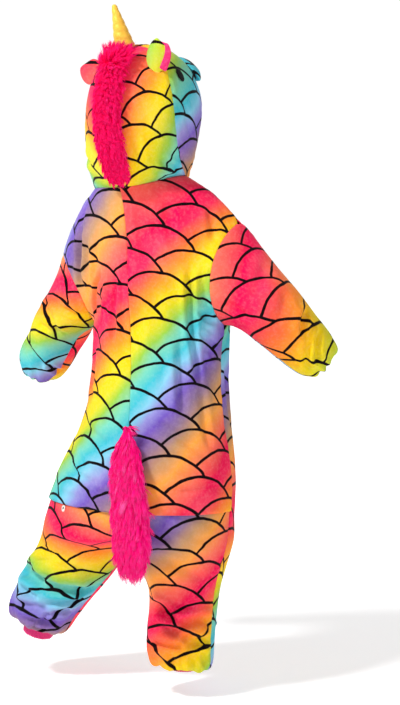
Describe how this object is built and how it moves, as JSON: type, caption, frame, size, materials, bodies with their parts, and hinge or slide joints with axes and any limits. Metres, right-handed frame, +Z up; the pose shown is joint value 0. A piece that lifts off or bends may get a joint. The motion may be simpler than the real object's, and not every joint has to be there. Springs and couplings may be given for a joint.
{
  "type": "unicorn onesie",
  "caption": "Child's hooded fleece onesie as worn: hollow body, sleeves and legs, hood with horn, ears, eyes and mane, a fur tail, a drop seat and rib ankle cuffs.",
  "frame": {"origin": "between the wearer's shoulders, at the foot of the neck, where the wearer holds the suit up", "axes": "+Z up along the standing wearer; the front of the suit faces -Y; the wearer's left is +X"},
  "size_m": [0.6061, 0.3288, 1.1473],
  "materials": {
    "rainbow_fleece": "plush fleece, printed with rainbow fish scales",
    "pink_lining": "plush fleece",
    "pink_fur": "long-pile fur",
    "gold_satin": "soft satin over stuffing",
    "black_felt": "embroidered",
    "pearl_plastic": "glossy",
    "pink_rib": "ribbed knit"
  },
  "bodies": {
    "root": {"ankle_cuff_left": "pink_rib", "ankle_cuff_right": "pink_rib", "back_left": "rainbow_fleece", "back_right": "rainbow_fleece", "button_1": "pearl_plastic", "button_2": "pearl_plastic", "button_3": "pearl_plastic", "button_4": "pearl_plastic", "button_5": "pearl_plastic", "ear_left": "rainbow_fleece", "ear_lining_left": "pink_lining", "ear_lining_right": "pink_lining", "ear_right": "rainbow_fleece", "eye_left": "black_felt", "eye_right": "black_felt", "face_left": "rainbow_fleece", "face_right": "rainbow_fleece", "front_left": "rainbow_fleece", "front_right": "rainbow_fleece", "hood_left": "rainbow_fleece", "hood_right": "rainbow_fleece", "horn": "gold_satin", "mane": "pink_fur", "muzzle": "rainbow_fleece", "placket": "rainbow_fleece", "seat_left": "rainbow_fleece", "seat_right": "rainbow_fleece", "seat_snap": "pearl_plastic", "sleeve_left": "rainbow_fleece", "sleeve_right": "rainbow_fleece", "tail": "pink_fur"}
  },
  "joints": []
}
